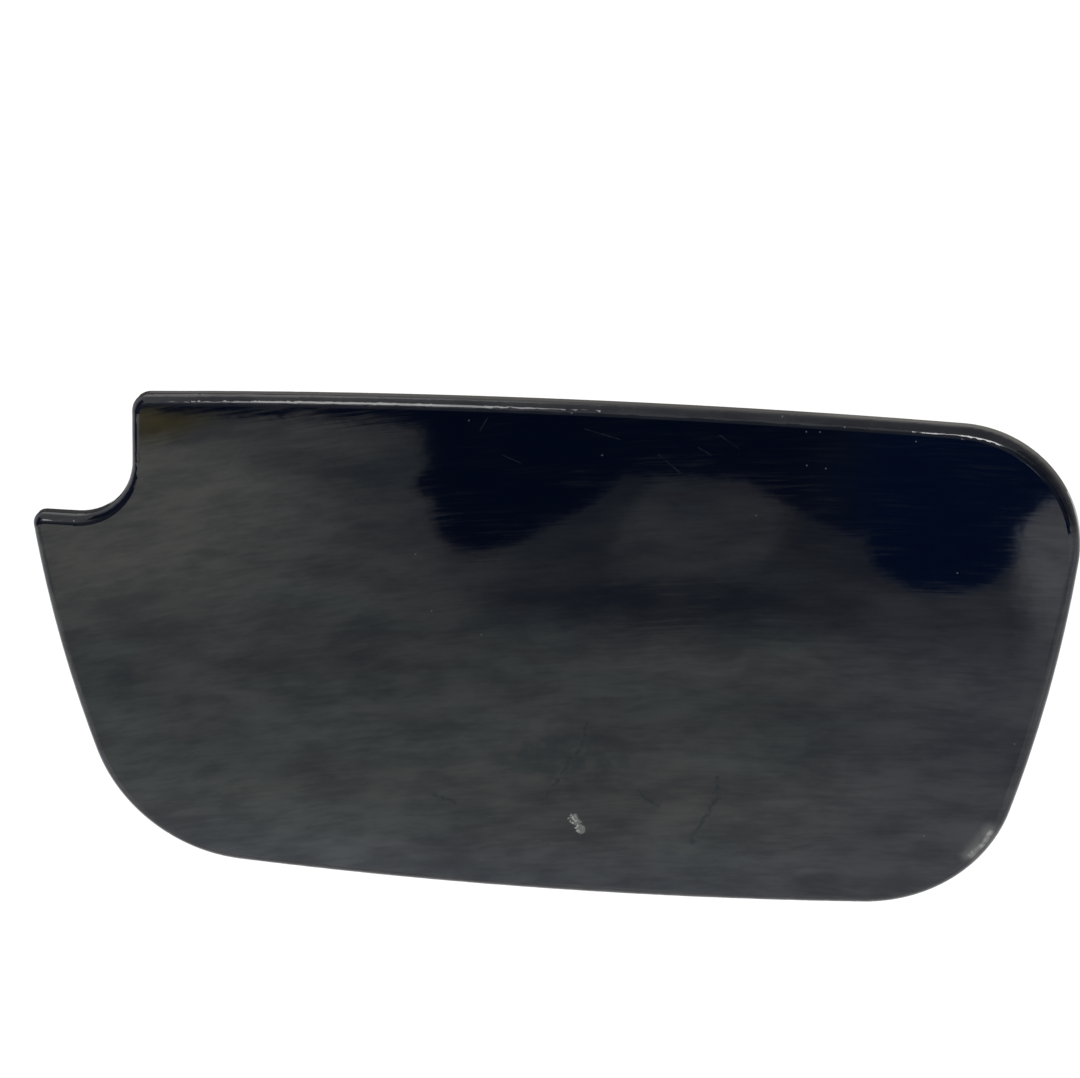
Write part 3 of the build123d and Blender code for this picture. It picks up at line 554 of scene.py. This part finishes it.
def torsion_spring(material):
    """The round-wire coil as one smooth tube, wound between the bracket and the flap."""
    curve = bpy.data.curves.new("spring_line", "CURVE")
    curve.dimensions = "3D"
    curve.bevel_depth = WIRE_RADIUS * MM
    curve.bevel_resolution = WIRE_BEVEL_STEPS
    curve.use_fill_caps = True
    curve.resolution_u = WIRE_CURVE_STEPS
    points = spring_path()
    spline = curve.splines.new("NURBS")
    spline.points.add(len(points) - 1)
    for made, place in zip(spline.points, points):
        made.co = (*place, 1.0)
    spline.order_u = WIRE_CURVE_ORDER
    spline.use_endpoint_u = True
    line = bpy.data.objects.new("spring_line", curve)
    bpy.context.scene.collection.objects.link(line)
    bpy.context.view_layer.update()
    mesh = bpy.data.meshes.new_from_object(line.evaluated_get(bpy.context.evaluated_depsgraph_get()))
    bpy.data.objects.remove(line)
    mesh.materials.clear()
    mesh.materials.append(material)
    mesh.shade_smooth()
    spring = bpy.data.objects.new("coil_spring", mesh)
    bpy.context.scene.collection.objects.link(spring)
    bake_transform(spring)
    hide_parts("torsion_spring")


def plane(name, corners, material):
    """A flat staged sheet through four corners."""
    mesh = bpy.data.meshes.new(name)
    mesh.from_pydata(corners, [], [(0, 1, 2, 3)])
    mesh.materials.append(material)
    sheet = bpy.data.objects.new(name, mesh)
    bpy.context.scene.collection.objects.link(sheet)
    return sheet


def level_corners(x_range, y_range, height):
    """Corners of a level sheet."""
    (low_x, high_x), (low_y, high_y) = x_range, y_range
    ring = ((low_x, low_y), (high_x, low_y), (high_x, high_y), (low_x, high_y))
    return [(x, y, height) for x, y in ring]


def upright_corners(run, heights):
    """Corners of an upright sheet that runs between two places on the ground."""
    (near_x, near_y), (far_x, far_y) = run
    low, high = heights
    return [(near_x, near_y, low), (far_x, far_y, low), (far_x, far_y, high), (near_x, near_y, high)]


def hang_card(shading, tone, level, corners):
    """A studio card that glows with a tone and a level, and is seen in gloss and nowhere else."""
    shading.tree.nodes.remove(shading.shader)
    glow = shading.node("ShaderNodeEmission")
    shading.feed(glow.inputs["Color"], tone)
    shading.feed(glow.inputs["Strength"], level)
    output = shading.tree.nodes["Material Output"]
    shading.tree.links.new(glow.outputs[0], output.inputs["Surface"])
    shading.material.cycles.emission_sampling = "NONE"
    card = plane(shading.material.name, corners, shading.material)
    card.visible_camera = False
    card.visible_diffuse = False
    card.visible_shadow = False
    card.visible_transmission = False
    card.visible_volume_scatter = False


def soft_oval(shading, place, centre, radii, soft, boxy=False):
    """A mask that is 1 inside an oval on a card and fades across its edge."""
    away = shading.vector("DIVIDE", shading.vector("SUBTRACT", place, (*centre, 0.0)), (*radii, 1.0))
    if boxy:
        away = shading.vector("MULTIPLY", away, away)
    reach = shading.vector("LENGTH", away)
    if boxy:
        reach = shading.math("SQRT", reach)
    return shading.near(reach, (1.0 - soft, 1.0 + soft))


# The pale card that lies in front of the door. Its corners are in metres. What is drawn on it is in frame
# millimetres: ovals are a centre, two radii and a softness, and fades are two places and two levels.
CARD_X = (-0.52, 0.32)
CARD_Y = (-0.76, -0.06)
CARD_HEIGHT = -0.1
ACROSS_CARD = (1.0, 1.0, 0.0)
CARD_SHIFT = (300.0, 100.0, 0.0)
CARD_WARP = 16.0
CARD_WARP_NOISE = dict(grain=even(60.0), detail=2.0)
CARD_CLOUD = 1.4
CARD_CLOUD_NOISE = dict(grain=(52.0, 42.0, 42.0), detail=7.0, roughness=0.66)

# Its brightness with distance from the door, one dim patch and two pale ones
CARD_FADE = [
    (90.0, 1.50), (110.0, 1.40), (135.0, 1.22), (185.0, 0.96), (240.0, 0.96), (285.0, 0.50), (340.0, 0.30),
    (440.0, 0.24),
]
CARD_PEAK = 1.8
DIM_PATCH = ((-65.0, -292.0), (55.0, 28.0), 0.6)
DIM_PATCH_DEPTH = 0.45
PALE_PATCH = ((-61.0, -396.0), (29.0, 78.0), 0.10)
PALE_PATCH_FADE = (290.0, 360.0, 0.0, 0.8)
LEFT_PATCH_FADE = (-165.0, -110.0, 1.1, 0.0)
LEFT_PATCH_START = (250.0, 300.0)

# Its dark flags: the far end, a shelf with a slanting left end, and the blobs that hang from them
FAR_DIM_FADE = (440.0, 500.0, 0.0, 0.4)
FAR_DARK_FADE = (522.0, 545.0, 0.0, 0.6)
SHELF_EDGE = (-60.0, -5.0, 463.0, 383.0)
SHELF_EDGE_RETURN = (48.0, 66.0, 0.0, 53.0)
SHELF_SOFT = (-7.0, 7.0)
SHELF_SLANT = 0.28
SHELF_LEFT_END = (-58.0, -46.0)
DARK_BLOBS = [
    ((-135.0, -505.0), (34.0, 164.0), 0.05),
    ((-151.0, -468.0), (34.0, 66.0), 0.05),
    ((25.0, -385.0), (27.0, 70.0), 0.06),
]
NAVY_START = (-40.0, 5.0)
NAVY_GLOW = 0.12
NAVY_TONE = (0.0, 0.2, 1.0, 1.0)

# Its bright ends
ENDS_START = (200.0, 300.0)
LEFT_EDGE = (380.0, 460.0, -200.0, -244.0)
LEFT_EDGE_RETURN = (462.0, 495.0, 0.0, 44.0)
LEFT_SOFT = (-38.0, 42.0)
RIGHT_FADE = (44.0, 56.0, 0.0, 0.92)
ENDS_LIGHT = 1.44
ENDS_CLOUD = 0.5

# Its tones
TONE_PATCH_NOISE = dict(grain=even(38.0), detail=2.0)
TONE_PATCH_SPREAD = (0.35, 0.65)
GREENISH_TONE = (0.97, 1.06, 0.94, 1.0)
WARM_TONE = (1.04, 1.02, 0.93, 1.0)
NEAR_SPAN = (95.0, 140.0)
NEAR_TONE = (0.965, 1.02, 1.04, 1.0)
LEFT_TONE = (1.03, 1.03, 0.90, 1.0)
RIGHT_START = (-40.0, 40.0)
RIGHT_TONE = (0.98, 1.01, 1.03, 1.0)
OLIVE_PATCH = ((-314.0, -508.0), (22.0, 34.0), 0.5)
OLIVE_TONE = (0.95, 0.80, 0.25, 1.0)


def card_glow(shading, place, x, depth):
    """How bright the front card is between its ends: bright close by and dim far out, with patches."""
    nearest, furthest = CARD_FADE[0][0], CARD_FADE[-1][0]
    reach = furthest - nearest
    share = shading.math("DIVIDE", shading.math("SUBTRACT", depth, nearest), reach)
    stops = [((stop - nearest) / reach, grey(level / CARD_PEAK)) for stop, level in CARD_FADE]
    level = shading.times(shading.ramp(share, stops), CARD_PEAK)
    dim = soft_oval(shading, place, *DIM_PATCH)
    level = shading.times(level, shading.math("MULTIPLY_ADD", dim, -DIM_PATCH_DEPTH, 1.0))
    pale = soft_oval(shading, place, *PALE_PATCH, boxy=True)
    pale = shading.times(pale, shading.ease(depth, *PALE_PATCH_FADE))
    left = shading.times(shading.ease(x, *LEFT_PATCH_FADE), shading.ease(depth, *LEFT_PATCH_START))
    return shading.times(level, shading.math("ADD", shading.highest(pale, left), 1.0))


def card_flags(shading, place, x, depth):
    """Where the front card is dark, and where that dark is navy."""
    far = shading.math("ADD", shading.ease(depth, *FAR_DIM_FADE), shading.ease(depth, *FAR_DARK_FADE))
    edge = shading.math("ADD", shading.ease(x, *SHELF_EDGE), shading.ease(x, *SHELF_EDGE_RETURN))
    shelf = shading.ease(shading.math("SUBTRACT", depth, edge), *SHELF_SOFT)
    slanted = shading.math("MULTIPLY_ADD", depth, SHELF_SLANT, x)
    shelf = shading.times(shelf, shading.ease(slanted, *SHELF_LEFT_END))
    dark = shading.highest(far, shelf)
    for blob in DARK_BLOBS:
        dark = shading.highest(dark, soft_oval(shading, place, *blob))
    return dark, shading.times(dark, shading.ease(x, *NAVY_START))


def front_card():
    """A pale card with brighter ends and dark flags, as the gloss of the door shows it."""
    shading = Shading("front_card")
    shifted = shading.vector("ADD", shading.place, CARD_SHIFT)
    warp_x = shading.sway(shading.noise(**CARD_WARP_NOISE), CARD_WARP)
    warp_y = shading.sway(shading.noise(source=shifted, **CARD_WARP_NOISE), CARD_WARP)
    place = shading.vector("ADD", shading.place, shading.join(warp_x, warp_y, 0.0))
    place = shading.vector("MULTIPLY", place, ACROSS_CARD)
    x, y, _ = shading.split(place)
    depth = shading.times(y, -1.0)
    cloud = shading.noise(**CARD_CLOUD_NOISE)
    cloud = shading.math("MULTIPLY_ADD", cloud, CARD_CLOUD, 1.0 - CARD_CLOUD / 2)
    level = shading.times(card_glow(shading, place, x, depth), cloud)

    # The left end has a soft slanting edge, the right one a fairly sharp one.
    ends = shading.ease(depth, *ENDS_START)
    left_edge = shading.math("ADD", shading.ease(depth, *LEFT_EDGE), shading.ease(depth, *LEFT_EDGE_RETURN))
    left = shading.times(shading.ease(shading.math("SUBTRACT", left_edge, x), *LEFT_SOFT), ends)
    right = shading.times(shading.ease(x, *RIGHT_FADE), ends)
    sides = shading.highest(left, right)
    bright = shading.math("MULTIPLY_ADD", cloud, ENDS_CLOUD, 1.0 - ENDS_CLOUD)
    level = shading.times(level, shading.math("SUBTRACT", 1.0, sides))
    level = shading.math("MULTIPLY_ADD", sides, shading.times(bright, ENDS_LIGHT), level)
    dark, navy = card_flags(shading, place, x, depth)
    level = shading.times(level, shading.math("SUBTRACT", 1.0, dark))
    level = shading.math("MULTIPLY_ADD", navy, NAVY_GLOW, level)

    # The near part is cooler and the left end a little warmer, with an olive corner.
    patchy = shading.noise(source=shifted, **TONE_PATCH_NOISE)
    tone = shading.mix(shading.ease(patchy, *TONE_PATCH_SPREAD), GREENISH_TONE, WARM_TONE)
    tone = shading.mix(shading.near(depth, NEAR_SPAN), tone, NEAR_TONE)
    tone = shading.mix(left, tone, LEFT_TONE)
    tone = shading.mix(shading.ease(x, *RIGHT_START), tone, RIGHT_TONE)
    tone = shading.mix(soft_oval(shading, place, *OLIVE_PATCH), tone, OLIVE_TONE)
    tone = shading.mix(navy, tone, NAVY_TONE)
    hang_card(shading, tone, level, level_corners(CARD_X, CARD_Y, CARD_HEIGHT))


# The other cards: runs and heights in metres, grains and fades in frame millimetres
BACK_CARD_RUN = ((-1.2, 0.7), (0.9, 0.7))
BACK_CARD_HEIGHTS = (-0.1, 0.75)
BACK_CARD_TONE = (1.0, 0.96, 0.87, 1.0)
BACK_CARD_GLOW = 0.52
BACK_CARD_CLOUD = 0.4
BACK_CARD_NOISE = dict(grain=even(260.0), detail=2.0)
BACK_CARD_RISE = (-100.0, 500.0, 0.5, 1.25)
BACK_CARD_LEFT_FADE = (-395.0, -365.0, 0.42, 1.0)
BACK_CARD_RIGHT_FADE = (-72.0, -48.0, 1.0, 1.6)

FRONT_WALL_RUN = ((-1.6, -1.3), (1.2, -1.3))
FRONT_WALL_HEIGHTS = (-0.5, 0.5)
FRONT_WALL_TONE = (1.0, 1.0, 1.04, 1.0)
FRONT_WALL_GLOW = 0.34
FRONT_WALL_NOISE = dict(grain=(500.0, 500.0, 220.0), detail=3.0)
FRONT_WALL_RISE = (-400.0, 500.0, 0.3, 1.1)
FRONT_WALL_RIGHT_FADE = (380.0, 480.0, 1.0, 0.3)
GLINT = ((235.0, -90.0), (190.0, 110.0), 0.35)
GLINT_GLOW = 3.2

ROOM_NOISE = dict(grain=even(300.0), detail=2.0)
WALL_DRIFT = 200.0
LEFT_WALL_RUN = ((-1.0, -1.0), (-1.0, 0.35))
LEFT_WALL_HEIGHTS = (-0.5, 0.9)
LEFT_WALL_TONE = (0.92, 0.95, 1.0, 1.0)
LEFT_WALL_FADE = (-240.0, 40.0, 0.10, 1.15)

RIGHT_WALL_RUN = ((1.2, -1.7), (1.2, 1.0))
RIGHT_WALL_HEIGHTS = (-0.3, 1.3)
RIGHT_WALL_TONE = (1.0, 0.97, 0.92, 1.0)
RIGHT_WALL_FADE = (-500.0, 500.0, 0.30, 0.70)
RIGHT_WALL_FOOT_FADE = (-300.0, 60.0, 0.95, 0.0)

RIGHT_FLAG_RUN = ((0.21, -0.57), (0.34, -0.51))
RIGHT_FLAG_HEIGHTS = (-0.29, 0.25)
RIGHT_FLAG_TONE = (0.85, 0.92, 1.0, 1.0)
RIGHT_FLAG_CLOUD = 0.44
RIGHT_FLAG_NOISE = dict(grain=even(120.0), detail=2.0)
RIGHT_FLAG_FOOT_FADE = (-290.0, -130.0, 0.85, 0.0)

TOP_CARD_X = (-1.6, 1.2)
TOP_CARD_Y = (-1.7, 1.0)
TOP_CARD_HEIGHT = 1.3
TOP_CARD_TONE = (1.0, 0.98, 0.94, 1.0)
TOP_CARD_GLOW = 0.85
TOP_CARD_CLOUD = 0.3
TOP_CARD_FADE = (-500.0, 150.0, 1.0, 0.6)


def back_card():
    """A dim card behind and above, which the top of the rim shows."""
    shading = Shading("back_card")
    x, _, height = shading.split(shading.place)
    cloud = shading.noise(**BACK_CARD_NOISE)
    level = shading.math("MULTIPLY_ADD", cloud, BACK_CARD_CLOUD, BACK_CARD_GLOW - BACK_CARD_CLOUD / 2)
    level = shading.times(level, shading.ease(height, *BACK_CARD_RISE))
    level = shading.times(level, shading.ease(x, *BACK_CARD_LEFT_FADE))
    level = shading.times(level, shading.ease(x, *BACK_CARD_RIGHT_FADE))
    hang_card(shading, BACK_CARD_TONE, level, upright_corners(BACK_CARD_RUN, BACK_CARD_HEIGHTS))


def front_wall():
    """A dim wall in front, behind the camera, with one bright patch."""
    shading = Shading("front_wall")
    x, _, height = shading.split(shading.place)
    cloud = shading.noise(**FRONT_WALL_NOISE)
    level = shading.math("MULTIPLY_ADD", cloud, FRONT_WALL_GLOW, FRONT_WALL_GLOW / 2)
    level = shading.times(level, shading.ease(height, *FRONT_WALL_RISE))
    level = shading.times(level, shading.ease(x, *FRONT_WALL_RIGHT_FADE))
    glint = soft_oval(shading, shading.join(x, height, 0.0), *GLINT)
    level = shading.math("MULTIPLY_ADD", glint, GLINT_GLOW, level)
    hang_card(shading, FRONT_WALL_TONE, level, upright_corners(FRONT_WALL_RUN, FRONT_WALL_HEIGHTS))


def left_wall():
    """A wall on the left, dark in front and pale behind."""
    shading = Shading("left_wall")
    y = shading.split(shading.place)[1]
    away = shading.math("MULTIPLY_ADD", shading.noise(**ROOM_NOISE), WALL_DRIFT, y)
    level = shading.ease(away, *LEFT_WALL_FADE)
    hang_card(shading, LEFT_WALL_TONE, level, upright_corners(LEFT_WALL_RUN, LEFT_WALL_HEIGHTS))


def right_flag():
    """A narrow card off to the right, dim above its foot: the line between the face and its rolled edge."""
    shading = Shading("right_flag")
    height = shading.split(shading.place)[2]
    level = shading.times(shading.noise(**RIGHT_FLAG_NOISE), RIGHT_FLAG_CLOUD)
    level = shading.highest(level, shading.ease(height, *RIGHT_FLAG_FOOT_FADE))
    hang_card(shading, RIGHT_FLAG_TONE, level, upright_corners(RIGHT_FLAG_RUN, RIGHT_FLAG_HEIGHTS))


def top_card():
    """A pale card overhead, dimmer towards the right, which the rolled edge shows."""
    shading = Shading("top_card")
    x = shading.split(shading.place)[0]
    level = shading.math("MULTIPLY_ADD", shading.noise(**ROOM_NOISE), TOP_CARD_CLOUD, TOP_CARD_GLOW)
    level = shading.times(level, shading.ease(x, *TOP_CARD_FADE))
    hang_card(shading, TOP_CARD_TONE, level, level_corners(TOP_CARD_X, TOP_CARD_Y, TOP_CARD_HEIGHT))


def right_wall():
    """A wall on the right, paler behind and at its foot, which the rolled upper corner shows."""
    shading = Shading("right_wall")
    _, y, height = shading.split(shading.place)
    away = shading.math("MULTIPLY_ADD", shading.noise(**ROOM_NOISE), WALL_DRIFT, y)
    level = shading.ease(away, *RIGHT_WALL_FADE)
    level = shading.highest(level, shading.ease(height, *RIGHT_WALL_FOOT_FADE))
    hang_card(shading, RIGHT_WALL_TONE, level, upright_corners(RIGHT_WALL_RUN, RIGHT_WALL_HEIGHTS))


def floor(height):
    """A pale floor that reads as white to the camera and in gloss, and still takes a shadow."""
    shading = Shading("floor")
    shading.material.cycles.emission_sampling = "NONE"
    shading.set(roughness=FLOOR_ROUGHNESS, base_color=FLOOR_COLOUR, emission_color=WHITE)
    shading.shader.inputs["Specular IOR Level"].default_value = 0.0
    path = shading.node("ShaderNodeLightPath").outputs
    seen = shading.highest(path["Is Camera Ray"], path["Is Glossy Ray"])
    seen = shading.highest(seen, path["Is Transmission Ray"])
    shading.set(emission_strength=shading.times(seen, FLOOR_GLOW))
    sides = (-FLOOR_HALF, FLOOR_HALF)
    plane("floor", level_corners(sides, sides, height), shading.material)


def sky():
    """White all round: at full strength for the camera and in gloss, a little lower as light."""
    world = bpy.data.worlds.new("studio")
    bpy.context.scene.world = world
    world.use_nodes = True
    tree = world.node_tree
    background = tree.nodes["Background"]
    background.inputs["Color"].default_value = WHITE
    path = tree.nodes.new("ShaderNodeLightPath")
    seen = path.outputs["Is Camera Ray"]
    for name in ("Is Glossy Ray", "Is Transmission Ray"):
        either = tree.nodes.new("ShaderNodeMath")
        either.operation = "MAXIMUM"
        tree.links.new(seen, either.inputs[0])
        tree.links.new(path.outputs[name], either.inputs[1])
        seen = either.outputs[0]
    level = tree.nodes.new("ShaderNodeMapRange")
    tree.links.new(seen, level.inputs["Value"])
    level.inputs["To Min"].default_value = SKY_FOR_LIGHT
    tree.links.new(level.outputs[0], background.inputs["Strength"])


def direction(azimuth, elevation):
    """Unit vector that points from the door to an azimuth and an elevation in degrees."""
    turn, lift = math.radians(azimuth), math.radians(elevation)
    return Vector((math.sin(turn) * math.cos(lift), -math.cos(turn) * math.cos(lift), math.sin(lift)))


def softbox(name, azimuth, elevation, distance, size, radiance):
    """A rectangular lamp that faces the door; radiance is what the gloss shows of it."""
    width, height = size
    lamp = bpy.data.lights.new(name, "AREA")
    lamp.shape = "RECTANGLE"
    lamp.size = width
    lamp.size_y = height
    lamp.energy = radiance * math.pi * width * height
    box = bpy.data.objects.new(name, lamp)
    bpy.context.scene.collection.objects.link(box)
    back = direction(azimuth, elevation)
    box.visible_camera = False
    box.location = VIEW_AIM + distance * back
    box.rotation_euler = back.to_track_quat("Z", "Y").to_euler()


def camera():
    """The camera, which is turned a little about its own axis."""
    back = direction(VIEW_AZIMUTH, VIEW_ELEVATION)
    right = Vector((0.0, 0.0, 1.0)).cross(back).normalized()
    up = back.cross(right)
    roll = math.radians(VIEW_ROLL)
    turned_right = math.cos(roll) * right + math.sin(roll) * up
    turned_up = -math.sin(roll) * right + math.cos(roll) * up
    data = bpy.data.cameras.new("view")
    data.sensor_fit = "HORIZONTAL"
    data.sensor_width = SENSOR_WIDTH
    data.lens = SENSOR_WIDTH * FOCAL_PIXELS / IMAGE_WIDTH
    data.clip_start = CLIP_START
    data.clip_end = CLIP_END
    view = bpy.data.objects.new("view", data)
    bpy.context.scene.collection.objects.link(view)
    place = VIEW_AIM + VIEW_DISTANCE * back
    axes = Matrix((turned_right, turned_up, back)).transposed().to_4x4()
    view.matrix_world = Matrix.Translation(place) @ axes
    bpy.context.scene.camera = view


camera()
materials = {"body_paint": body_paint()}
for finish_name, settings in FINISHES.items():
    materials[finish_name] = finish(finish_name, **settings)
dress_nodes(materials)
torsion_spring(materials["spring_steel"])
floor(cad_box[0][2] - FLOOR_DROP)
front_card()
back_card()
front_wall()
left_wall()
right_flag()
top_card()
right_wall()
sky()
for lamp_name, settings in LAMPS.items():
    softbox(lamp_name, *settings)
bpy.context.scene.view_settings.view_transform = "Standard"
